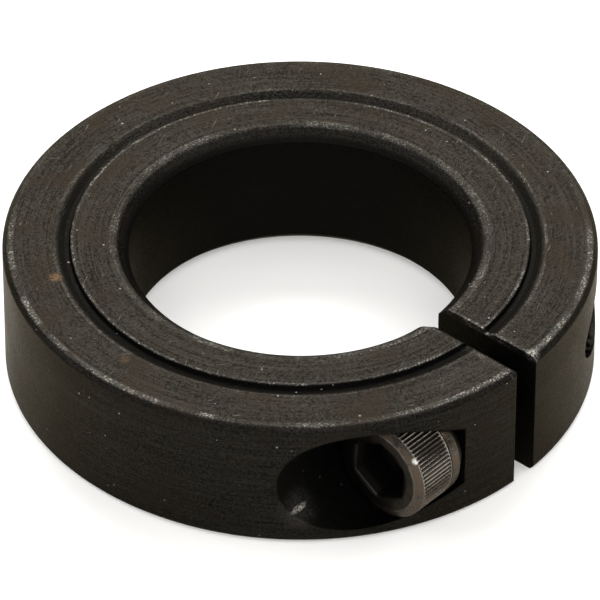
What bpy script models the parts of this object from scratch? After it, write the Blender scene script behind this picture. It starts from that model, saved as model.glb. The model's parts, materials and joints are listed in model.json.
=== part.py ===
"""One-piece clamping shaft collar, 1-3/16 in bore, with its cap screw.

Frame: metres, +Z along the bore, origin at the middle of the bottom face.
The slit is at -Y and the screw lies along X, its head on the -X side.

The ring is one piece of steel that flexes at the wall opposite the slit. It is
held here as two halves that meet at a hairline seam there, so that one half can
turn on a joint at the middle of that wall.
"""
import math

import bmesh
import bpy
from mathutils import Vector

INCH = 0.0254

# Ring
OUTER_RADIUS = 2.0625 * INCH / 2
BORE_RADIUS = 1.1875 * INCH / 2
WIDTH = 0.5 * INCH
OUTER_CHAMFER = 0.00055
BORE_CHAMFER = 0.0011
GROOVE_RADII = (0.0202, 0.0215)
GROOVE_FLOOR_RADII = (0.02035, 0.0207)
GROOVE_DEPTH = 0.0004
SLIT_WIDTH = 0.0021
FLEX_SEAM = 0.0003
FLEX_PIVOT_Y = (OUTER_RADIUS + BORE_RADIUS) / 2
RING_SEGMENTS = 144

# Cross hole that takes the screw
SCREW_DISTANCE = 0.0210
SCREW_HEIGHT = WIDTH / 2
SEAT_X = -0.0071
COUNTERBORE_RADIUS = 13 / 32 * INCH / 2
CLEARANCE_RADIUS = 17 / 64 * INCH / 2
TAPPED_RADIUS = 0.0033
HOLE_SEGMENTS = 48

# Cap screw, 1/4-28 by 5/8 in. The shank is drawn smooth, inside the threads' crests.
SHANK_RADIUS = 0.0030
SHANK_LENGTH = 0.625 * INCH
TIP_CHAMFER = 0.0006
HEAD_RADIUS = 0.375 * INCH / 2
HEAD_HEIGHT = 0.25 * INCH
HEAD_FACE_RADIUS = 0.0039
HEAD_FACE_CHAMFER = 0.0004
HEAD_SEAT_CHAMFER = 0.0008
SEAT_GAP = 0.00005
SOCKET_ACROSS_FLATS = 3 / 16 * INCH
SOCKET_TURN = math.radians(33)
SOCKET_DEPTH = 0.0031
SOCKET_POINT = 0.0007
SCREW_SEGMENTS = 48

# Cutters run this far past the faces that they cut through
OVERRUN = 0.004


def clear_scene():
    """Start from an empty scene."""
    for obj in list(bpy.data.objects):
        bpy.data.objects.remove(obj, do_unlink=True)


def make_material(name, colour, roughness):
    """Plain metal of one colour."""
    material = bpy.data.materials.new(name)
    material.use_nodes = True
    shader = material.node_tree.nodes["Principled BSDF"]
    shader.inputs["Base Color"].default_value = (*colour, 1.0)
    shader.inputs["Roughness"].default_value = roughness
    shader.inputs["Metallic"].default_value = 1.0
    return material


def add_object(name, bm, location=(0.0, 0.0, 0.0), material=None):
    """Put a bmesh into the scene as one closed object with its faces pointing out."""
    bmesh.ops.recalc_face_normals(bm, faces=bm.faces)
    mesh = bpy.data.meshes.new(name)
    bm.to_mesh(mesh)
    bm.free()
    mesh.shade_smooth()
    mesh.set_sharp_from_angle(angle=math.radians(25))
    obj = bpy.data.objects.new(name, mesh)
    obj.location = location
    bpy.context.collection.objects.link(obj)
    if material is not None:
        mesh.materials.append(material)
    return obj


def add_cutter(name, bm, location=(0.0, 0.0, 0.0)):
    """A shape that only cuts others: left out of the part."""
    obj = add_object(name, bm, location)
    obj.hide_render = True
    obj.display_type = "WIRE"
    return obj


def cut(obj, cutter):
    """Subtract the cutter from the object."""
    modifier = obj.modifiers.new(cutter.name, "BOOLEAN")
    modifier.operation = "DIFFERENCE"
    modifier.solver = "EXACT"
    modifier.object = cutter


def spin_closed(bm, points, axis, segments):
    """Turn a profile a full circle about an axis through the bmesh's origin."""
    verts = [bm.verts.new(point) for point in points]
    edges = [bm.edges.new(pair) for pair in zip(verts, verts[1:])]
    if (points[0] - points[-1]).length > 0 and not on_axis(points[0], axis):
        edges.append(bm.edges.new((verts[-1], verts[0])))
    bmesh.ops.spin(bm, geom=verts + edges, cent=(0, 0, 0), axis=axis,
                   angle=2 * math.pi, steps=segments, use_merge=True)
    bmesh.ops.remove_doubles(bm, verts=bm.verts, dist=1e-6)


def on_axis(point, axis):
    """Whether a profile point lies on the axis that it turns about."""
    return point.cross(Vector(axis)).length < 1e-9


def cylinder_along_x(radius, x_start, x_end, segments):
    """Closed cylinder along X between two places on it."""
    bm = bmesh.new()
    profile = [Vector((x_start, 0, 0)), Vector((x_start, radius, 0)),
               Vector((x_end, radius, 0)), Vector((x_end, 0, 0))]
    spin_closed(bm, profile, (1, 0, 0), segments)
    return bm


def box(low, high):
    """Closed box between two corners."""
    bm = bmesh.new()
    bmesh.ops.create_cube(bm, size=1.0)
    for vert in bm.verts:
        vert.co = Vector(low[i] + (vert.co[i] + 0.5) * (high[i] - low[i]) for i in range(3))
    return bm


def ring_section():
    """Radius and height of the ring's section, once round, with the face groove on top."""
    outer, bore, top = OUTER_RADIUS, BORE_RADIUS, WIDTH
    groove_in, groove_out = GROOVE_RADII
    floor_in, floor_out = GROOVE_FLOOR_RADII
    return [
        (bore, BORE_CHAMFER), (bore + BORE_CHAMFER, 0.0),
        (outer - OUTER_CHAMFER, 0.0), (outer, OUTER_CHAMFER),
        (outer, top - OUTER_CHAMFER), (outer - OUTER_CHAMFER, top),
        (groove_out, top), (floor_out, top - GROOVE_DEPTH),
        (floor_in, top - GROOVE_DEPTH), (groove_in, top),
        (bore + BORE_CHAMFER, top), (bore, top - BORE_CHAMFER),
    ]


def full_ring():
    """The turned ring before the slit and the cross hole are cut."""
    bm = bmesh.new()
    points = [Vector((radius, 0, height)) for radius, height in ring_section()]
    spin_closed(bm, points, (0, 0, 1), RING_SEGMENTS)
    return bm


def half_ring(name, side, pivot, material):
    """The half of the ring on one side of the slit: side is +1 for +X, -1 for -X.

    The object's origin is at the pivot."""
    bm = full_ring()
    for vert in bm.verts:
        vert.co -= Vector(pivot)
    half = add_object(name, bm, pivot, material)
    reach = OUTER_RADIUS + OVERRUN
    seam = side * FLEX_SEAM / 2
    far = -side * reach
    other_half = box((min(seam, far), -reach, -OVERRUN), (max(seam, far), reach, WIDTH + OVERRUN))
    cut(half, add_cutter(name + "_other_half_cutter", other_half))
    slit = box((-SLIT_WIDTH / 2, -reach, -OVERRUN), (SLIT_WIDTH / 2, 0.0, WIDTH + OVERRUN))
    cut(half, add_cutter(name + "_slit_cutter", slit))
    return half


def cross_hole_cutter(name, radius, x_start, x_end):
    """A round hole along the screw's line."""
    bm = cylinder_along_x(radius, x_start, x_end, HOLE_SEGMENTS)
    return add_cutter(name, bm, (0, -SCREW_DISTANCE, SCREW_HEIGHT))


def build_ring(material):
    """Both halves of the ring, with the slit, the screw's seat and its two holes."""
    reach = OUTER_RADIUS + OVERRUN
    thread_side = half_ring("ring_thread_side", 1, (0, 0, 0), material)
    cut(thread_side, cross_hole_cutter("tapped_hole_cutter", TAPPED_RADIUS, 0.0, reach))

    head_side = half_ring("ring_head_side", -1, (0, FLEX_PIVOT_Y, 0), material)
    cut(head_side, cross_hole_cutter("clearance_hole_cutter", CLEARANCE_RADIUS,
                                     SEAT_X - OVERRUN, 0.0))
    cut(head_side, cross_hole_cutter("counterbore_cutter", COUNTERBORE_RADIUS, -reach, SEAT_X))


def screw_profile():
    """Outline of the screw from the middle of its head face to the middle of its tip.

    The distance along the screw is measured from under the head."""
    face = -HEAD_HEIGHT
    tip = SHANK_LENGTH
    return [
        (0.0, face), (HEAD_FACE_RADIUS, face),
        (HEAD_RADIUS, face + HEAD_FACE_CHAMFER), (HEAD_RADIUS, -HEAD_SEAT_CHAMFER),
        (HEAD_RADIUS - HEAD_SEAT_CHAMFER, 0.0), (SHANK_RADIUS, 0.0),
        (SHANK_RADIUS, tip - TIP_CHAMFER), (SHANK_RADIUS - TIP_CHAMFER, tip), (0.0, tip),
    ]


def socket_cutter(location):
    """Hexagonal socket with a shallow point at its floor."""
    corner = SOCKET_ACROSS_FLATS / math.sqrt(3)
    mouth = -HEAD_HEIGHT - OVERRUN
    floor = -HEAD_HEIGHT + SOCKET_DEPTH
    bm = bmesh.new()
    rings = []
    for x in (mouth, floor):
        ring = []
        for i in range(6):
            angle = i * math.pi / 3 + SOCKET_TURN
            ring.append(bm.verts.new((x, corner * math.cos(angle), corner * math.sin(angle))))
        rings.append(ring)
    point = bm.verts.new((floor + SOCKET_POINT, 0, 0))
    bm.faces.new(rings[0])
    for i in range(6):
        j = (i + 1) % 6
        bm.faces.new((rings[0][i], rings[0][j], rings[1][j], rings[1][i]))
        bm.faces.new((rings[1][i], rings[1][j], point))
    return add_cutter("socket_cutter", bm, location)


def build_screw(material):
    """Socket head cap screw, its origin on its axis under the head."""
    bm = bmesh.new()
    points = [Vector((along, radius, 0)) for radius, along in screw_profile()]
    spin_closed(bm, points, (1, 0, 0), SCREW_SEGMENTS)
    location = (SEAT_X - SEAT_GAP, -SCREW_DISTANCE, SCREW_HEIGHT)
    screw = add_object("cap_screw", bm, location, material)
    cut(screw, socket_cutter(location))


def main():
    clear_scene()
    ring_steel = make_material("black_oxide_ring", (0.060, 0.056, 0.052), 0.45)
    screw_steel = make_material("black_oxide_screw", (0.10, 0.088, 0.075), 0.35)
    build_ring(ring_steel)
    build_screw(screw_steel)


main()
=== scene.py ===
"""Looks of a one-piece clamping shaft collar and its cap screw.

The ring is drawn as one unbroken piece, and the screw with its knurl, hexagon socket
and thread. Lengths are in metres.
"""
import json
import math

import bmesh
import bpy
from mathutils import Matrix, Vector


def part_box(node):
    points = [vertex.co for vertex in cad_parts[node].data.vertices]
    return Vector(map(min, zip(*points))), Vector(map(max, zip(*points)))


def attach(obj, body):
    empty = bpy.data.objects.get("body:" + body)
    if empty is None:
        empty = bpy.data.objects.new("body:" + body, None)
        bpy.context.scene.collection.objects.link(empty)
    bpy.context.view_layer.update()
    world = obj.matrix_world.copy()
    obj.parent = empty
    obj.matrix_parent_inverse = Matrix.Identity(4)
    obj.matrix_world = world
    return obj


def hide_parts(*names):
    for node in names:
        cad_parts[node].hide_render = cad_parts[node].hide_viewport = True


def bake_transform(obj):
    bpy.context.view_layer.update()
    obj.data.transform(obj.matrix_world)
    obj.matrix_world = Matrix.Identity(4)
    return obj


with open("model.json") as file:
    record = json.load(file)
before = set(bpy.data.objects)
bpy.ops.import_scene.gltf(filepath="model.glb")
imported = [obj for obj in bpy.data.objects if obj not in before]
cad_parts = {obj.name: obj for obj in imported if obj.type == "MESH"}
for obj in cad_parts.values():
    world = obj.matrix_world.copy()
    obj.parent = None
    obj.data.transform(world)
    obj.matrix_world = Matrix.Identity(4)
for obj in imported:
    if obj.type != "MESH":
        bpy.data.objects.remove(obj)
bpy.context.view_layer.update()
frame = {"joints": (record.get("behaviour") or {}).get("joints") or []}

MM = 0.001

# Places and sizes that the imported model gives
_, ring_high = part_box("ring_thread_side")
OUTER_RADIUS = ring_high.x
WIDTH = ring_high.z
JOINTS = {joint["name"]: joint for joint in frame["joints"]}
SCREW_SEAT = Vector(JOINTS["screw_turn"]["pos_m"])

# Ring section
BORE_RADIUS = 15.081 * MM
BORE_CHAMFER = 1.1 * MM
OUTER_CHAMFER = 0.42 * MM
GROOVE_INNER = 20.20 * MM
GROOVE_FLOOR = (20.34 * MM, 20.72 * MM)
GROOVE_OUTER = 21.50 * MM
GROOVE_DEPTH = 0.42 * MM
RING_STEPS = 360
EDGE_ROUND_STEPS = 4

# Slit. The jaw at -x is worn round and the one at +x nearly sharp.
SLIT_HALF_WIDTH = 1.05 * MM
SOFT_JAW_ROUND = 0.75 * MM
SHARP_JAW_ROUND = 0.10 * MM
JAW_ROUND_STEPS = 8
JAW_CORNER = Vector((-SLIT_HALF_WIDTH, -16.45 * MM, WIDTH))
JAW_CORNER_FACING = Vector((0.75, 0.55, 1.0)).normalized()
JAW_CORNER_DEPTH = 0.42 * MM
JAW_CORNER_CUTTER = 6 * MM

# Cross hole
COUNTERBORE_RADIUS = 5.16 * MM
CLEARANCE_RADIUS = 3.37 * MM
HOLE_STEPS = 128
HOLE_OVERLAP = 2 * MM

# Cutters run this far past the faces that they cut through
OVERRUN = 3 * MM

# Screw, measured along its axis from under the head
HEAD_RADIUS = 4.7625 * MM
HEAD_HEIGHT = 6.35 * MM
SHANK_LENGTH = 15.875 * MM
SEAT_GAP = 0.05 * MM
KNURL_RIDGES = 80
KNURL_DEPTH = 0.14 * MM
KNURL_GROOVE_POWER = 0.8
KNURL_END = 2.25 * MM
KNURL_FADE_AT_FACE = 0.35 * MM
KNURL_FADE_AT_END = 0.15 * MM
FACE_RADIUS = 3.90 * MM
FACE_CHAMFER = 0.40 * MM
SOCKET_ACROSS_FLATS = 4.83 * MM
SOCKET_CORNER_CUT = 0.03
SOCKET_DEPTH = 3.1 * MM
SOCKET_FLARE = 0.29 * MM
SOCKET_TURN = 3 / 360
THREAD_PITCH = 25.4 / 28 * MM
THREAD_CREST = 3.17 * MM
THREAD_ROOT = 2.62 * MM
THREAD_CREST_SHARE = 0.12
THREAD_FLANK_SHARE = 0.70
THREAD_CLEARANCE = 0.07 * MM
THREAD_EXIT_RADIUS = 2.95 * MM
TIP_CHAMFER = 0.65 * MM

# Ring colours, the spots that are rubbed or rusted, and two spots with a painted highlight
OXIDE_DARK = (0.0040, 0.0037, 0.0032, 1)
OXIDE_LIGHT = (0.0260, 0.0242, 0.0212, 1)
OXIDE_BROWN = (0.0190, 0.0142, 0.0104, 1)
PAINTED_SHADE_BLACK = (0.0052, 0.0051, 0.0049, 1)
WORN_STEEL_AND_HIGHLIGHT = (0.150, 0.145, 0.134, 1)
MOUTH_HIGHLIGHT_STEEL = (0.36, 0.34, 0.31, 1)
RUST = (0.100, 0.052, 0.020, 1)
RING_SPECULAR_TINT = (0.63, 0.598, 0.540, 1)
MOUTH_HIGHLIGHT_SPOT = (-19.13 * MM, -16.80 * MM, 3.36 * MM)
CORNER_RUB = (1.3 * MM, -25.5 * MM, WIDTH)
HEAD_GLINT = (-13.15 * MM, -24.74 * MM, 9.25 * MM)
RUST_SPOTS = ((-18.32 * MM, 12.3 * MM, WIDTH), (-22.54 * MM, 0.24 * MM, WIDTH))

# Direction of the side that faces the camera, in x and y, where the painted rim highlight is
# strongest and the groove's painted shade darkest
CAMERA_FACING_SIDE = (-0.75, -0.66)

# Radii between which the top face's edges are rubbed and given a painted highlight
WORN_HIGHLIT_RIM = (25.34 * MM, 25.68 * MM)
WORN_HIGHLIT_GROOVE_INNER = (19.98 * MM, 20.16 * MM)
WORN_HIGHLIT_GROOVE_OUTER = (21.55 * MM, 21.75 * MM)
WORN_HIGHLIT_BORE = (16.20 * MM, 16.75 * MM)

# Screw colours
BODY_DARK = (0.0100, 0.0088, 0.0074, 1)
BODY_LIGHT = (0.0250, 0.0220, 0.0184, 1)
BODY_BROWN = (0.034, 0.0235, 0.0165, 1)
RUBBED_DARK = (0.030, 0.0268, 0.0230, 1)
RUBBED_LIGHT = (0.092, 0.083, 0.071, 1)
RUBBED_BROWN = (0.072, 0.049, 0.033, 1)
RUBBED_BLACK = (0.016, 0.0145, 0.0122, 1)
FACE_EDGE_HIGHLIGHT = (0.135, 0.118, 0.098, 1)
CREST_DARK = (0.115, 0.104, 0.090, 1)
CREST_LIGHT = (0.290, 0.266, 0.232, 1)
KNURL_GROOVE = (0.020, 0.0175, 0.0145, 1)
PAINTED_COUNTERBORE_SHADE = (0.0075, 0.0068, 0.0060, 1)
PAINTED_GLINT_STEEL = (0.85, 0.83, 0.78, 1)
SOCKET_PAINTED_SHADE = (0.0045, 0.0042, 0.0040, 1)
SCREW_SPECULAR_TINT = (0.66, 0.62, 0.56, 1)

# Camera
CAMERA_AZIMUTH = -48.6
CAMERA_ELEVATION = 38.594
CAMERA_DISTANCE = 0.5962
CAMERA_LENS = 407.0
CAMERA_AIM_DOWN = 0.5243
CAMERA_ROLL = -0.166

# Lights and floor. A light is its name, turn from the camera, elevation, size and power.
WARM_WHITE = (1.0, 0.987, 0.962)
LIGHT_DISTANCE = 0.9
LIGHTS = (
    ("overhead", 0, 80, (0.9, 0.9), 2.0),
    ("behind", 180, 42, (0.9, 0.6), 13.4),
    ("front", 0, 42, (0.8, 0.5), 5.0),
    ("right", 90, 42, (0.8, 0.5), 3.6),
    ("left", -90, 42, (0.8, 0.5), 3.6),
)
SURROUND_STRENGTH = 0.04
FLOOR_TONES = ((0.84, 0.84, 0.84, 1), (0.87, 0.87, 0.87, 1))
FLOOR_GLOW = 0.20
FLOOR_DROP = 0.02 * MM


# ---------------------------------------------------------------- mesh helpers

def arc_corner(before, corner, after, radius, steps):
    """Points of an arc that rounds the corner between two straight runs."""
    into = (before - corner).normalized()
    out = (after - corner).normalized()
    half = into.angle(out) / 2
    reach = radius / math.tan(half)
    centre = corner + (into + out).normalized() * (radius / math.sin(half))
    start = corner + into * reach - centre
    end = corner + out * reach - centre
    points = []
    for i in range(steps + 1):
        spoke = start.slerp(end, i / steps, start)
        points.append(centre + spoke.normalized() * radius)
    return points


def rounded_outline(corners, steps):
    """Closed outline through corners given as (x, y, rounding radius)."""
    points = []
    for i, (x, y, radius) in enumerate(corners):
        before = Vector(corners[i - 1][:2])
        after = Vector(corners[(i + 1) % len(corners)][:2])
        points += arc_corner(before, Vector((x, y)), after, radius, steps)
    return points


def new_object(name, bm):
    """Put a bmesh into the scene with its faces pointing out."""
    bmesh.ops.recalc_face_normals(bm, faces=bm.faces)
    mesh = bpy.data.meshes.new(name)
    bm.to_mesh(mesh)
    bm.free()
    obj = bpy.data.objects.new(name, mesh)
    bpy.context.collection.objects.link(obj)
    return obj


def grid_faces(bm, rows, closed_rows=False):
    """Quads between successive closed loops of vertices."""
    pairs = list(zip(rows, rows[1:]))
    if closed_rows:
        pairs.append((rows[-1], rows[0]))
    for near, far in pairs:
        count = len(near)
        for i in range(count):
            j = (i + 1) % count
            bm.faces.new((near[i], near[j], far[j], far[i]))


def close_tube(bm, loops):
    """Quads between successive loops of vertices, and a face over each end."""
    grid_faces(bm, loops)
    bm.faces.new(loops[0])
    bm.faces.new(loops[-1])


def loop_about_x(bm, radii, x):
    """A loop of vertices about the screw's axis, one radius for each step."""
    count = len(radii)
    verts = []
    for i, radius in enumerate(radii):
        angle = 2 * math.pi * i / count
        verts.append(bm.verts.new((x, -radius * math.sin(angle), radius * math.cos(angle))))
    return verts


def shade(obj, angle):
    """Smooth shading with edges sharper than the angle kept."""
    obj.data.shade_smooth()
    obj.data.set_sharp_from_angle(angle=math.radians(angle))


def subtract(obj, cutter):
    """Cut a shape out of an object for good, then delete the cutter."""
    modifier = obj.modifiers.new("cut", "BOOLEAN")
    modifier.operation = "DIFFERENCE"
    modifier.solver = "EXACT"
    modifier.object = cutter
    bpy.context.view_layer.objects.active = obj
    bpy.ops.object.modifier_apply(modifier=modifier.name)
    bpy.data.objects.remove(cutter, do_unlink=True)


# ------------------------------------------------------------------------ ring

def ring_section():
    """Outline of the ring's section as radius and height, with its small edge rounds."""
    bore, outer, top = BORE_RADIUS, OUTER_RADIUS, WIDTH
    corners = [
        (bore, BORE_CHAMFER, 0.4 * MM), (bore + BORE_CHAMFER, 0.0, 0.8 * MM),
        (outer - OUTER_CHAMFER, 0.0, 0.3 * MM), (outer, OUTER_CHAMFER, 0.3 * MM),
        (outer, top - OUTER_CHAMFER, 0.3 * MM), (outer - OUTER_CHAMFER, top, 0.45 * MM),
        (GROOVE_OUTER, top, 0.5 * MM), (GROOVE_FLOOR[1], top - GROOVE_DEPTH, 0.10 * MM),
        (GROOVE_FLOOR[0], top - GROOVE_DEPTH, 0.04 * MM), (GROOVE_INNER, top, 0.08 * MM),
        (bore + BORE_CHAMFER, top, 0.9 * MM), (bore, top - BORE_CHAMFER, 0.3 * MM),
    ]
    return rounded_outline(corners, EDGE_ROUND_STEPS)


def ring_blank():
    """The turned ring before the slit and the cross hole are cut."""
    bm = bmesh.new()
    loops = []
    for radius, height in ring_section():
        loop = []
        for i in range(RING_STEPS):
            angle = 2 * math.pi * (i + 0.5) / RING_STEPS
            loop.append(bm.verts.new((radius * math.cos(angle), radius * math.sin(angle), height)))
        loops.append(loop)
    grid_faces(bm, loops, closed_rows=True)
    return new_object("collar_ring", bm)


def prism(outline, low, high, axes):
    """Closed prism over an outline; axes puts (outline x, outline y, depth) into the frame."""
    bm = bmesh.new()
    ends = []
    for depth in (low, high):
        ends.append([bm.verts.new(axes @ Vector((p.x, p.y, depth))) for p in outline])
    close_tube(bm, ends)
    return new_object("cutter", bm)


def flared_side(wall, flare, outward, low, high):
    """One side of the slit's outline, from low to high; outward is -1 at -x and 1 at +x.

    It flares away from the slit at both ends."""
    away = wall + outward * flare
    quarter = [math.pi / 2 * i / JAW_ROUND_STEPS for i in range(JAW_ROUND_STEPS + 1)]
    points = [Vector((away, low - OVERRUN))]
    for a in quarter:
        points.append(Vector((away - outward * flare * math.sin(a),
                              low + flare - flare * math.cos(a))))
    for a in reversed(quarter):
        points.append(Vector((away - outward * flare * math.sin(a),
                              high - flare + flare * math.cos(a))))
    points.append(Vector((away, high + OVERRUN)))
    return points


def flared_slit(low, high):
    """Outline of the slit that rounds the jaws' edges at both ends.

    x is across the slit and y from one end to the other."""
    left = flared_side(-SLIT_HALF_WIDTH, SOFT_JAW_ROUND, -1, low, high)
    right = flared_side(SLIT_HALF_WIDTH, SHARP_JAW_ROUND, 1, low, high)
    return left + right[::-1]


def knock_corner(ring):
    """Slanting flat on the round jaw's upper corner at the bore."""
    centre = JAW_CORNER + JAW_CORNER_FACING * (JAW_CORNER_CUTTER / 2 - JAW_CORNER_DEPTH)
    turn = JAW_CORNER_FACING.to_track_quat("Z", "Y").to_matrix().to_4x4()
    bm = bmesh.new()
    bmesh.ops.create_cube(bm, size=JAW_CORNER_CUTTER, matrix=Matrix.Translation(centre) @ turn)
    # The cutter stops in the middle of the slit, so that it spares the other jaw
    everything = bm.verts[:] + bm.edges[:] + bm.faces[:]
    bmesh.ops.bisect_plane(bm, geom=everything, plane_co=(0, 0, 0), plane_no=(1, 0, 0),
                           clear_outer=True)
    bmesh.ops.holes_fill(bm, edges=bm.edges)
    subtract(ring, new_object("cutter", bm))


def cut_slit(ring):
    """Saw the slit at -Y, with its worn edges along the faces and up the outside."""
    down_y = Matrix(((1, 0, 0), (0, 0, 1), (0, 1, 0)))
    across_faces = flared_slit(0.0, WIDTH)
    subtract(ring, prism(across_faces, -OUTER_RADIUS - OVERRUN, -BORE_RADIUS / 2, down_y))
    up_z = Matrix.Identity(3)
    up_the_outside = flared_slit(-OUTER_RADIUS, -BORE_RADIUS)
    subtract(ring, prism(up_the_outside, -OVERRUN, WIDTH + OVERRUN, up_z))
    knock_corner(ring)


def cut_on_screw_line(ring, bm, loops):
    """Cut a tube of vertex loops out of the ring, along the screw's line."""
    close_tube(bm, loops)
    cutter = new_object("cutter", bm)
    cutter.location = (0, SCREW_SEAT.y, SCREW_SEAT.z)
    subtract(ring, cutter)


def cut_round_hole(ring, radius, x_start, x_end):
    """A plain round hole on the screw's line."""
    bm = bmesh.new()
    ends = [loop_about_x(bm, [radius] * HOLE_STEPS, x) for x in (x_start, x_end)]
    cut_on_screw_line(ring, bm, ends)


def thread_radius(x, turn, crest, root):
    """Radius of a right-hand thread at a distance along it and a share of a turn."""
    phase = (x / THREAD_PITCH - turn) % 1.0
    rise = min(phase, 1.0 - phase) * 2.0
    flank = min(max((rise - THREAD_CREST_SHARE) / THREAD_FLANK_SHARE, 0.0), 1.0)
    return crest + (root - crest) * flank


def cut_tapped_hole(ring):
    """Tapped hole from the slit out through the far side, in phase with the screw."""
    rows_per_pitch = 8
    columns = 96
    start = 0.4 * MM
    end = 24 * MM
    worn_from, worn_to = OUTER_RADIUS - 0.9 * MM, OUTER_RADIUS - 0.3 * MM
    rows = int((end - start) / THREAD_PITCH * rows_per_pitch)
    bm = bmesh.new()
    loops = []
    for row in range(rows + 1):
        x = start + (end - start) * row / rows
        radii = []
        for i in range(columns):
            y = SCREW_SEAT.y - THREAD_EXIT_RADIUS * math.sin(2 * math.pi * i / columns)
            worn = smooth_step(math.hypot(x, y), worn_from, worn_to)
            cut = thread_radius(x - SCREW_SEAT.x, i / columns, THREAD_CREST + THREAD_CLEARANCE,
                                THREAD_ROOT + THREAD_CLEARANCE * 2)
            radii.append(cut + (THREAD_EXIT_RADIUS - cut) * worn)
        loops.append(loop_about_x(bm, radii, x))
    cut_on_screw_line(ring, bm, loops)


def build_ring():
    """The whole ring as one mesh in place of the two CAD halves."""
    ring = ring_blank()
    cut_slit(ring)
    cut_round_hole(ring, CLEARANCE_RADIUS, SCREW_SEAT.x - HOLE_OVERLAP, 0.0)
    cut_round_hole(ring, COUNTERBORE_RADIUS, -OUTER_RADIUS - OVERRUN, SCREW_SEAT.x)
    cut_tapped_hole(ring)
    shade(ring, angle=28)
    return ring


# ----------------------------------------------------------------------- screw

def hexagon_radius(turn, across_flats):
    """Distance from the axis to a hexagon whose corners are cut round."""
    sixth = ((turn - SOCKET_TURN) * 6) % 1.0 - 0.5
    radius = across_flats / 2 / math.cos(sixth * math.pi / 3)
    corner = across_flats / math.sqrt(3)
    return min(radius, corner * (1 - SOCKET_CORNER_CUT))


def smooth_step(value, low, high):
    """0 below low, 1 above high, smooth between."""
    t = min(max((value - low) / (high - low), 0.0), 1.0)
    return t * t * (3 - 2 * t)


def knurl_drop(turn, x):
    """How far the straight knurl's grooves go in at a place on the head."""
    chamfer_end = -HEAD_HEIGHT + FACE_CHAMFER
    window = smooth_step(x, chamfer_end, chamfer_end + KNURL_FADE_AT_FACE)
    window *= 1 - smooth_step(x, -KNURL_END - KNURL_FADE_AT_END, -KNURL_END)
    phase = (turn * KNURL_RIDGES) % 1.0
    groove = 1 - abs(2 * phase - 1)
    return KNURL_DEPTH * groove ** KNURL_GROOVE_POWER * window


def head_loops(bm, columns):
    """Loops of the head from the middle of the socket's floor, out over the face and
    the knurl and back to the shank."""
    turns = [i / columns for i in range(columns)]
    face = -HEAD_HEIGHT
    chamfer_end = face + FACE_CHAMFER
    floor = face + SOCKET_DEPTH
    loops = []

    def round_loop(radius, x):
        loops.append(loop_about_x(bm, [radius] * columns, x))

    def hex_loop(grow, x):
        across = SOCKET_ACROSS_FLATS + 2 * grow
        radii = [hexagon_radius(turn, across) for turn in turns]
        loops.append(loop_about_x(bm, radii, x))

    # Drill point, then the socket's wall and its flared mouth
    for radius, rise in ((0.25, 0.85), (1.2, 0.45), (2.05, 0.06)):
        round_loop(radius * MM, floor + rise * MM)
    hex_loop(-0.10 * MM, floor)
    hex_loop(-0.02 * MM, floor - 0.05 * MM)
    for share in (0.15, 0.4, 0.7):
        hex_loop(0.0, floor - (SOCKET_DEPTH - 0.25 * MM) * share)
    for grow, rise in ((0.0, 0.72), (0.02, 0.68), (0.19, 0.12), (0.22, 0.08)):
        hex_loop(grow * MM, face + rise * MM)
    hex_loop(SOCKET_FLARE, face)

    # Face and its chamfer, with small rounds between
    round_loop(3.15 * MM, face)
    for out, rise in ((-0.08, 0.0), (0.02, 0.015), (0.12, 0.06)):
        round_loop(FACE_RADIUS + out * MM, face + rise * MM)
    round_loop(HEAD_RADIUS - 0.14 * MM, chamfer_end - 0.08 * MM)
    round_loop(HEAD_RADIUS - 0.04 * MM, chamfer_end - 0.02 * MM)

    # Knurl
    knurl_rows = 30
    for row in range(knurl_rows + 1):
        x = chamfer_end + (-KNURL_END - chamfer_end) * row / knurl_rows
        radii = [HEAD_RADIUS - knurl_drop(turn, x) for turn in turns]
        loops.append(loop_about_x(bm, radii, x))

    # Turned line under the knurl, plain collar and the chamfer under the head
    for inset, rise in ((0.12, 0.04), (0.12, 0.10), (0.02, 0.14)):
        round_loop(HEAD_RADIUS - inset * MM, -KNURL_END + rise * MM)
    for inset, x in ((0.01, -1.30), (0.04, -1.20), (0.12, -1.10), (0.80, -0.06), (0.90, 0.0)):
        round_loop(HEAD_RADIUS - inset * MM, x * MM)
    round_loop(3.45 * MM, 0.0)
    return loops


def shank_loops(bm, columns):
    """Loops of the shank from its fillet under the head to the tip, with the thread."""
    rows_per_pitch = 14
    start = 0.25 * MM
    plain = THREAD_CREST - 0.06 * MM
    rows = int((SHANK_LENGTH - start) / THREAD_PITCH * rows_per_pitch)
    loops = []
    for radius, x in ((3.22 * MM, 0.05 * MM), (3.12 * MM, 0.14 * MM)):
        loops.append(loop_about_x(bm, [radius] * columns, x))
    for row in range(rows + 1):
        x = start + (SHANK_LENGTH - start) * row / rows
        cut = smooth_step(x, 1.0 * MM, 2.2 * MM)
        tip_limit = THREAD_CREST - max(0.0, x - (SHANK_LENGTH - TIP_CHAMFER))
        radii = []
        for i in range(columns):
            threaded = thread_radius(x, i / columns, THREAD_CREST, THREAD_ROOT)
            radii.append(min(plain + (threaded - plain) * cut, tip_limit))
        loops.append(loop_about_x(bm, radii, x))
    loops.append(loop_about_x(bm, [1.2 * MM] * columns, SHANK_LENGTH))
    return loops


def build_screw():
    """Socket head cap screw as one mesh, turned to its place in the seat."""
    fine_per_coarse = 5
    columns = 128
    bm = bmesh.new()
    head = head_loops(bm, columns * fine_per_coarse)
    grid_faces(bm, head)
    bm.faces.new(head[0])
    shank = shank_loops(bm, columns)
    grid_faces(bm, shank)
    bm.faces.new(shank[-1])
    outer, inner = head[-1], shank[0]
    for i in range(columns):
        fine = [outer[(i * fine_per_coarse + k) % len(outer)] for k in range(fine_per_coarse + 1)]
        bm.faces.new(fine + [inner[(i + 1) % columns], inner[i]])
    screw = new_object("cap_screw_visual", bm)
    screw.data.transform(Matrix.Translation(SCREW_SEAT - Vector((SEAT_GAP, 0, 0))))
    shade(screw, angle=50)
    return screw


# ------------------------------------------------------------------- materials

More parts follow.
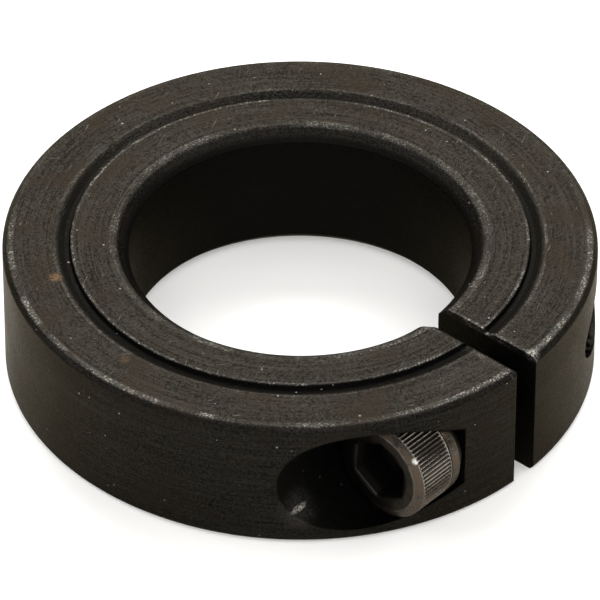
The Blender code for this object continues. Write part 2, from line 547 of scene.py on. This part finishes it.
class Nodes:
    """Short calls for building one material's node tree."""

    def __init__(self, name):
        self.material = bpy.data.materials.new(name)
        self.material.use_nodes = True
        self.tree = self.material.node_tree
        self.shader = self.tree.nodes["Principled BSDF"]

    def node(self, kind, **settings):
        made = self.tree.nodes.new(kind)
        for key, value in settings.items():
            setattr(made, key, value)
        return made

    def link(self, source, target):
        self.tree.links.new(source, target)

    def put(self, socket, value):
        """Connect a socket, or set its value."""
        if isinstance(value, bpy.types.NodeSocket):
            self.link(value, socket)
        else:
            socket.default_value = value

    def finish(self, name, value):
        """Connect one of the shader's sockets, or set its value."""
        self.put(self.shader.inputs[name], value)

    def math(self, operation, a, b=0.0):
        made = self.node("ShaderNodeMath", operation=operation)
        for socket, value in zip(made.inputs, (a, b)):
            self.put(socket, value)
        return made.outputs[0]

    def plus(self, a, b):
        return self.math("ADD", a, b)

    def minus(self, a, b):
        return self.math("SUBTRACT", a, b)

    def times(self, *values):
        product = values[0]
        for value in values[1:]:
            product = self.math("MULTIPLY", product, value)
        return product

    def highest(self, *values):
        top = values[0]
        for value in values[1:]:
            top = self.math("MAXIMUM", top, value)
        return top

    def vector_math(self, operation, a, b=(0.0, 0.0, 0.0)):
        made = self.node("ShaderNodeVectorMath", operation=operation)
        for socket, value in zip(made.inputs, (a, b)):
            self.put(socket, value)
        return made.outputs["Value" if operation == "LENGTH" else "Vector"]

    def ramp(self, value, low, high, out_low=0.0, out_high=1.0):
        """Smooth step from one output to the other; falls where low is above high."""
        made = self.node("ShaderNodeMapRange", interpolation_type="SMOOTHSTEP")
        for socket, number in zip(made.inputs, (value, low, high, out_low, out_high)):
            self.put(socket, number)
        return made.outputs[0]

    def noise(self, vector, scale, detail=2.0, roughness=0.5):
        made = self.node("ShaderNodeTexNoise")
        self.link(vector, made.inputs["Vector"])
        made.inputs["Scale"].default_value = scale
        made.inputs["Detail"].default_value = detail
        made.inputs["Roughness"].default_value = roughness
        return made.outputs["Fac"]

    def mix(self, share, a, b):
        made = self.node("ShaderNodeMix", data_type="RGBA")
        self.put(made.inputs["Factor"], share)
        self.put(made.inputs["A"], a)
        self.put(made.inputs["B"], b)
        return made.outputs["Result"]

    def combine(self, x, y, z):
        made = self.node("ShaderNodeCombineXYZ")
        for socket, value in zip(made.inputs, (x, y, z)):
            self.put(socket, value)
        return made.outputs[0]

    def separate(self, vector):
        made = self.node("ShaderNodeSeparateXYZ")
        self.link(vector, made.inputs[0])
        return tuple(made.outputs)

    def bump(self, height, distance, strength, normal=None):
        made = self.node("ShaderNodeBump")
        made.inputs["Strength"].default_value = strength
        made.inputs["Distance"].default_value = distance
        self.link(height, made.inputs["Height"])
        if normal is not None:
            self.link(normal, made.inputs["Normal"])
        return made.outputs["Normal"]


def axis_distance(n, a, b):
    """Distance from an axis, from two coordinates square to it."""
    return n.math("SQRT", n.plus(n.times(a, a), n.times(b, b)))


def band(n, value, low, high, soft):
    """1 between two numbers, with soft ends."""
    return n.times(n.ramp(value, low - soft, low), n.ramp(value, high + soft, high))


def spot(n, coordinates, centre, reach, stretch=1.0):
    """1 at a place on the object, falling to 0 at a distance from it.

    stretch draws the spot out along X."""
    away = n.vector_math("SUBTRACT", coordinates, centre)
    squeezed = n.vector_math("MULTIPLY", away, (1 / stretch, 1, 1))
    return n.ramp(n.vector_math("LENGTH", squeezed), reach, reach * 0.2)


def tool_marks(n, across, x, y):
    """Turning marks: noise that changes fast across the tool's path and hardly along it."""
    path = n.combine(n.times(across, 5200.0), n.times(x, 90.0), n.times(y, 90.0))
    return n.noise(path, 1.0, detail=4.0, roughness=0.7)


def scratches(n, x, y, z, degrees, low, high):
    """Thin short straight scratches in one direction on the flat faces."""
    cos, sin = math.cos(math.radians(degrees)), math.sin(math.radians(degrees))
    along = n.plus(n.times(x, cos), n.times(y, sin))
    across = n.minus(n.times(y, cos), n.times(x, sin))
    place = n.combine(n.times(along, 480.0), n.times(across, 8500.0), n.times(z, 4000.0))
    return n.ramp(n.noise(place, 1.0, detail=1.0), low, high)


def dust_specks(n, coordinates, z, in_bore):
    """Pale specks, fainter low down and none in the bore."""
    cells = n.node("ShaderNodeTexVoronoi", feature="F1")
    n.link(coordinates, cells.inputs["Vector"])
    cells.inputs["Scale"].default_value = 1150.0
    cell_tone = n.node("ShaderNodeSeparateColor")
    n.link(cells.outputs["Color"], cell_tone.inputs[0])
    size = n.ramp(cell_tone.outputs[0], 0.70, 1.0, 0.0, 0.12)
    specks = n.math("LESS_THAN", cells.outputs["Distance"], size)
    return n.times(specks, n.ramp(z, 0.0, WIDTH, 0.45, 1.0), n.minus(1.0, in_bore))


def groove_painted_shade(n, z, radius, toward_camera):
    """Painted shade in the face groove, darkest on the side facing the camera and fading away from
    it.
    """
    across = band(n, radius, GROOVE_INNER + 0.05 * MM, GROOVE_OUTER - 0.36 * MM, 0.26 * MM)
    return n.times(across, n.ramp(toward_camera, -18.0 * MM, -5.0 * MM, 0.12, 1.12),
                   n.ramp(z, WIDTH - 1.0 * MM, WIDTH - 0.6 * MM))


def inner_walls(n, x, y, z, front):
    """1 in the counterbore, the clearance hole and the slit, where shade is painted."""
    from_screw = axis_distance(n, n.minus(y, SCREW_SEAT.y), n.minus(z, SCREW_SEAT.z))
    in_counterbore = n.times(
        n.ramp(from_screw, COUNTERBORE_RADIUS + 0.15 * MM, COUNTERBORE_RADIUS),
        n.ramp(x, SCREW_SEAT.x + 0.10 * MM, SCREW_SEAT.x + 0.05 * MM))
    in_clearance = n.times(n.ramp(x, SLIT_HALF_WIDTH * 3, SLIT_HALF_WIDTH),
                           n.ramp(from_screw, 3.55 * MM, 3.45 * MM))
    in_slit = n.times(front, n.ramp(n.math("ABSOLUTE", x), SLIT_HALF_WIDTH * 1.1,
                                    SLIT_HALF_WIDTH * 1.02))
    return n.highest(in_counterbore, in_clearance, in_slit)


def worn_and_highlit_edges(n, x, y, z, radius, toward_camera, front):
    """The top face's edges, each with its own share of bare metal and painted highlight; the rim's
    is strongest on the side facing the camera.
    """
    rim = n.times(band(n, radius, *WORN_HIGHLIT_RIM, 0.22 * MM),
                  n.ramp(toward_camera, -8.0 * MM, 4.0 * MM, 0.15, 1.0))
    groove_inner = n.times(band(n, radius, *WORN_HIGHLIT_GROOVE_INNER, 0.10 * MM), 0.75)
    groove_outer = n.times(band(n, radius, *WORN_HIGHLIT_GROOVE_OUTER, 0.12 * MM), 0.30)
    bore = n.times(band(n, radius, *WORN_HIGHLIT_BORE, 0.20 * MM), 0.50)
    sharp_jaw = n.times(band(n, x, SLIT_HALF_WIDTH, SLIT_HALF_WIDTH + 0.25 * MM, 0.1 * MM),
                        n.ramp(y, -15.0 * MM, -24.0 * MM, 0.45, 1.6), front)
    soft_jaw = n.times(band(n, x, -2.0 * MM, -1.45 * MM, 0.3 * MM), front, 0.35)
    near_top = n.ramp(z, WIDTH - 0.7 * MM, WIDTH - 0.45 * MM)
    return n.times(n.highest(rim, groove_inner, groove_outer, bore, sharp_jaw, soft_jaw), near_top)


def ring_material():
    """Black oxide over turned steel, rubbed lighter on its edges."""
    n = Nodes("black_oxide_ring")
    coordinates = n.node("ShaderNodeTexCoord").outputs["Object"]
    x, y, z = n.separate(coordinates)
    radius = axis_distance(n, x, y)
    toward_camera = n.plus(n.times(x, CAMERA_FACING_SIDE[0]), n.times(y, CAMERA_FACING_SIDE[1]))
    front = n.ramp(y, -14.0 * MM, -16.0 * MM)
    normal_z = n.separate(n.node("ShaderNodeNewGeometry").outputs["Normal"])[2]
    on_face = n.ramp(n.math("ABSOLUTE", normal_z), 0.80, 0.97)
    off_face = n.minus(1.0, on_face)

    grain = n.noise(coordinates, 4300.0, detail=3.0, roughness=0.75)
    blotches = n.noise(coordinates, 950.0, detail=3.0, roughness=0.6)
    patches = n.noise(coordinates, 170.0, detail=3.0, roughness=0.55)
    fine_breaks = n.noise(coordinates, 4900.0, detail=2.0, roughness=0.7)
    long_breaks = n.noise(coordinates, 260.0, detail=2.0)
    breaks = n.plus(n.times(fine_breaks, 0.7), n.times(blotches, 0.3))
    marks = n.plus(n.times(tool_marks(n, radius, x, y), on_face),
                   n.times(tool_marks(n, z, x, y), off_face))

    # Oxide, browner in patches, with painted shade darkening the sides off the flat faces and the
    # recesses
    tone = n.plus(n.times(marks, 0.35), n.times(grain, 0.65))
    colour = n.mix(n.ramp(tone, 0.38, 0.62), OXIDE_DARK, OXIDE_LIGHT)
    colour = n.mix(n.ramp(blotches, 0.50, 0.72, 0.0, 0.45), colour, OXIDE_BROWN)
    colour = n.mix(n.ramp(patches, 0.48, 0.72, 0.0, 0.55), colour, OXIDE_BROWN)
    colour = n.mix(n.times(off_face, 0.32), colour, PAINTED_SHADE_BLACK)
    in_bore = n.ramp(radius, BORE_RADIUS + 0.65 * MM, BORE_RADIUS + 0.20 * MM)
    shaded_recess = n.highest(groove_painted_shade(n, z, radius, toward_camera), in_bore, inner_walls(n, x, y, z, front))
    # Painted shade in the groove, the bore, the counterbore, the clearance hole and the slit
    colour = n.mix(n.times(shaded_recess, 0.86), colour, PAINTED_SHADE_BLACK)

    # Bare metal with a painted highlight on the edges, bare metal on a corner and the scratches,
    # with dust of the same colour
    edges = n.times(worn_and_highlit_edges(n, x, y, z, radius, toward_camera, front),
                    n.ramp(breaks, 0.51, 0.61, 0.12, 1.0),
                    n.ramp(long_breaks, 0.36, 0.60, 0.15, 0.9))
    corner = n.times(spot(n, coordinates, CORNER_RUB, 0.9 * MM), n.ramp(fine_breaks, 0.35, 0.55))
    scratch = n.times(n.highest(scratches(n, x, y, z, 24, 0.735, 0.775),
                                scratches(n, x, y, z, 141, 0.745, 0.785)), on_face)
    dust = dust_specks(n, coordinates, z, in_bore)
    worn = n.highest(edges, corner, n.times(scratch, 0.40), n.times(dust, 0.85))
    colour = n.mix(worn, colour, WORN_STEEL_AND_HIGHLIGHT)

    # A painted highlight at the counterbore's mouth, and two rust spots
    mouth_highlight = n.highest(spot(n, coordinates, MOUTH_HIGHLIGHT_SPOT, 0.42 * MM, stretch=3.2),
                      n.times(spot(n, coordinates, MOUTH_HIGHLIGHT_SPOT, 2.4 * MM), 0.08))
    mouth_highlight = n.times(mouth_highlight, n.ramp(breaks, 0.40, 0.60, 0.15, 1.0))
    colour = n.mix(mouth_highlight, colour, MOUTH_HIGHLIGHT_STEEL)
    rust = n.highest(spot(n, coordinates, RUST_SPOTS[0], 0.85 * MM),
                     n.times(spot(n, coordinates, RUST_SPOTS[1], 0.75 * MM), 0.28))
    rust = n.times(rust, n.ramp(fine_breaks, 0.38, 0.60, 0.20, 0.9))
    colour = n.mix(rust, colour, RUST)

    rough = n.plus(n.ramp(grain, 0.3, 0.7, 0.36, 0.52), n.ramp(patches, 0.3, 0.7, -0.03, 0.04))
    rough = n.minus(rough, n.times(worn, 0.10))
    rough = n.plus(rough, n.times(shaded_recess, 0.10))
    matt = n.highest(n.times(dust, 0.6), mouth_highlight, rust)
    relief = n.bump(marks, 0.024 * MM, 0.55)
    relief = n.bump(grain, 0.085 * MM, 0.90, relief)
    relief = n.bump(blotches, 0.060 * MM, 0.30, relief)
    relief = n.bump(scratch, 0.015 * MM, 0.6, relief)
    n.finish("Base Color", colour)
    n.finish("Roughness", rough)
    n.finish("Metallic", n.minus(1.0, matt))
    n.finish("Specular IOR Level", 0.15)
    n.finish("Specular Tint", RING_SPECULAR_TINT)
    n.finish("Normal", relief)
    return n.material


def rubbed_oxide(n, grain, patches, radius):
    """The screw's oxide where hands and keys rub it, with a painted highlight along the face's
    edge.
    """
    colour = n.mix(n.ramp(grain, 0.30, 0.72), RUBBED_DARK, RUBBED_LIGHT)
    colour = n.mix(n.ramp(patches, 0.44, 0.60, 0.0, 0.85), colour, RUBBED_BROWN)
    colour = n.mix(n.ramp(patches, 0.44, 0.34, 0.0, 0.6), colour, RUBBED_BLACK)
    face_edge_highlight = n.times(band(n, radius, 3.82 * MM, 3.96 * MM, 0.06 * MM),
                   n.ramp(patches, 0.42, 0.58, 0.10, 1.0))
    return n.mix(face_edge_highlight, colour, FACE_EDGE_HIGHLIGHT)


def screw_material():
    """Thin, browned black oxide that shines on the knurl's ridges."""
    n = Nodes("black_oxide_screw")
    coordinates = n.node("ShaderNodeTexCoord").outputs["Object"]
    x, y, z = (n.minus(value, seat) for value, seat in zip(n.separate(coordinates), SCREW_SEAT))
    radius = axis_distance(n, y, z)
    grain = n.noise(coordinates, 5200.0, detail=3.0, roughness=0.65)
    patches = n.noise(coordinates, 900.0, detail=3.0, roughness=0.6)

    # Parts of the head. The side towards the bore is painted dark as shade from the counterbore,
    # and is not rubbed.
    on_head = n.ramp(x, -0.5 * MM, -0.9 * MM)
    on_knurl = n.times(n.ramp(x, -HEAD_HEIGHT + FACE_CHAMFER * 0.7, -HEAD_HEIGHT + FACE_CHAMFER),
                       n.ramp(x, -KNURL_END + 0.03 * MM, -KNURL_END - 0.03 * MM))
    ridge = n.times(n.ramp(radius, HEAD_RADIUS - KNURL_DEPTH * 0.60,
                           HEAD_RADIUS - KNURL_DEPTH * 0.10), on_knurl)
    # Lower down, the knurl's grooves are painted lighter and its crests duller, standing in for
    # light from the floor
    low = n.ramp(z, 2.2 * MM, -1.4 * MM)
    counterbore_shade = n.ramp(y, -0.6 * MM, 2.2 * MM, 0.0, 0.72)
    shoulder = n.times(n.ramp(radius, 3.80 * MM, 4.05 * MM), on_head, n.minus(1.0, counterbore_shade))
    # Painted shade inside the socket
    socket_shade = n.times(n.ramp(radius, 3.20 * MM, 3.12 * MM),
                     n.ramp(x, -HEAD_HEIGHT + 0.07 * MM, -HEAD_HEIGHT + 0.14 * MM),
                     n.ramp(x, -1.0 * MM, -1.4 * MM))

    body = n.mix(n.ramp(grain, 0.30, 0.72), BODY_DARK, BODY_LIGHT)
    body = n.mix(n.ramp(patches, 0.45, 0.70, 0.0, 0.6), body, BODY_BROWN)
    rubbed = rubbed_oxide(n, grain, patches, radius)
    crest = n.mix(n.ramp(grain, 0.30, 0.70), CREST_DARK, CREST_LIGHT)
    crest = n.mix(n.times(low, 0.85), crest, rubbed)
    colour = n.mix(shoulder, body, rubbed)
    in_knurl = n.times(on_knurl, n.minus(1.0, n.times(low, 0.8)))
    colour = n.mix(in_knurl, colour, KNURL_GROOVE)
    colour = n.mix(ridge, colour, crest)
    colour = n.mix(n.times(counterbore_shade, on_head), colour, PAINTED_COUNTERBORE_SHADE)
    # A painted glint at the start of the knurl, made matt so that it stays bright
    glint_spot = n.times(spot(n, coordinates, HEAD_GLINT, 0.42 * MM), n.ramp(grain, 0.35, 0.6, 0.3, 1.0))
    colour = n.mix(glint_spot, colour, PAINTED_GLINT_STEEL)
    colour = n.mix(socket_shade, colour, SOCKET_PAINTED_SHADE)

    rough = n.plus(n.ramp(grain, 0.3, 0.7, 0.30, 0.42), n.times(socket_shade, 0.30))
    relief = n.bump(grain, 0.016 * MM, 0.6)
    relief = n.bump(patches, 0.060 * MM, 0.55, relief)
    n.finish("Base Color", colour)
    n.finish("Roughness", n.minus(rough, n.times(ridge, 0.06)))
    n.finish("Metallic", n.minus(0.88, n.times(glint_spot, 0.8)))
    n.finish("Specular IOR Level", 0.25)
    n.finish("Specular Tint", SCREW_SPECULAR_TINT)
    n.finish("Normal", relief)
    return n.material


def floor_material():
    """Matt, nearly white."""
    n = Nodes("pale_floor")
    coordinates = n.node("ShaderNodeTexCoord").outputs["Object"]
    tone = n.noise(coordinates, 6.0, detail=3.0)
    n.finish("Base Color", n.mix(tone, *FLOOR_TONES))
    n.finish("Roughness", 0.9)
    n.finish("Specular IOR Level", 0.1)
    n.finish("Emission Color", (1.0, 1.0, 1.0, 1))
    n.finish("Emission Strength", FLOOR_GLOW)
    return n.material


# ----------------------------------------------------------------------- stage

def add_floor():
    """Large pale floor that the collar lies on."""
    bm = bmesh.new()
    bmesh.ops.create_grid(bm, x_segments=8, y_segments=8, size=4.0)
    floor = new_object("floor", bm)
    if floor.data.polygons[0].normal.z < 0:
        floor.data.flip_normals()
    floor.location.z = -FLOOR_DROP
    floor.data.materials.append(floor_material())


def seen_from(azimuth, elevation):
    """Direction from the collar to an onlooker, from two angles in degrees."""
    azimuth, elevation = math.radians(azimuth), math.radians(elevation)
    return Vector((math.sin(azimuth) * math.cos(elevation),
                   -math.cos(azimuth) * math.cos(elevation), math.sin(elevation)))


def add_area_light(name, turn, elevation, size, power):
    """Soft rectangular light that faces the collar; turn is from the camera's side."""
    back = seen_from(CAMERA_AZIMUTH + turn, elevation)
    data = bpy.data.lights.new(name, "AREA")
    data.shape = "RECTANGLE"
    data.size, data.size_y = size
    data.energy = power
    data.color = WARM_WHITE
    light = bpy.data.objects.new(name, data)
    light.location = back * LIGHT_DISTANCE
    light.rotation_mode = "QUATERNION"
    light.rotation_quaternion = back.to_track_quat("Z", "Y")
    bpy.context.collection.objects.link(light)


def add_lights():
    """A soft box above, a strong one behind whose sheen the faces catch, weak ones on the
    other three sides and a dim surround."""
    for name, turn, elevation, size, power in LIGHTS:
        add_area_light(name, turn, elevation, size, power)
    world = bpy.data.worlds.new("surround")
    world.use_nodes = True
    background = world.node_tree.nodes["Background"]
    background.inputs["Color"].default_value = (*WARM_WHITE, 1)
    background.inputs["Strength"].default_value = SURROUND_STRENGTH
    bpy.context.scene.world = world
    bpy.context.scene.view_settings.view_transform = "Standard"


def add_camera():
    """Long lens from above the screw side."""
    back = seen_from(CAMERA_AZIMUTH, CAMERA_ELEVATION)
    data = bpy.data.cameras.new("camera")
    data.sensor_width = 36
    data.lens = CAMERA_LENS
    data.clip_start = 0.01
    data.clip_end = 20
    camera = bpy.data.objects.new("camera", data)
    place = Matrix.Translation(Vector((0, 0, WIDTH)) + back * CAMERA_DISTANCE)
    aim = back.to_track_quat("Z", "Y").to_matrix().to_4x4()
    tilt = Matrix.Rotation(math.radians(-CAMERA_AIM_DOWN), 4, "X")
    roll = Matrix.Rotation(math.radians(-CAMERA_ROLL), 4, "Z")
    camera.matrix_world = place @ aim @ tilt @ roll
    bpy.context.collection.objects.link(camera)
    bpy.context.scene.camera = camera


# ------------------------------------------------------------------------ main

add_camera()
add_lights()
add_floor()

ring_object = build_ring()
ring_object.data.materials.append(ring_material())
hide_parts("ring_thread_side", "ring_head_side")
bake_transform(ring_object)

screw_object = build_screw()
screw_object.data.materials.append(screw_material())
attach(screw_object, "clamp_screw")
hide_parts("cap_screw")
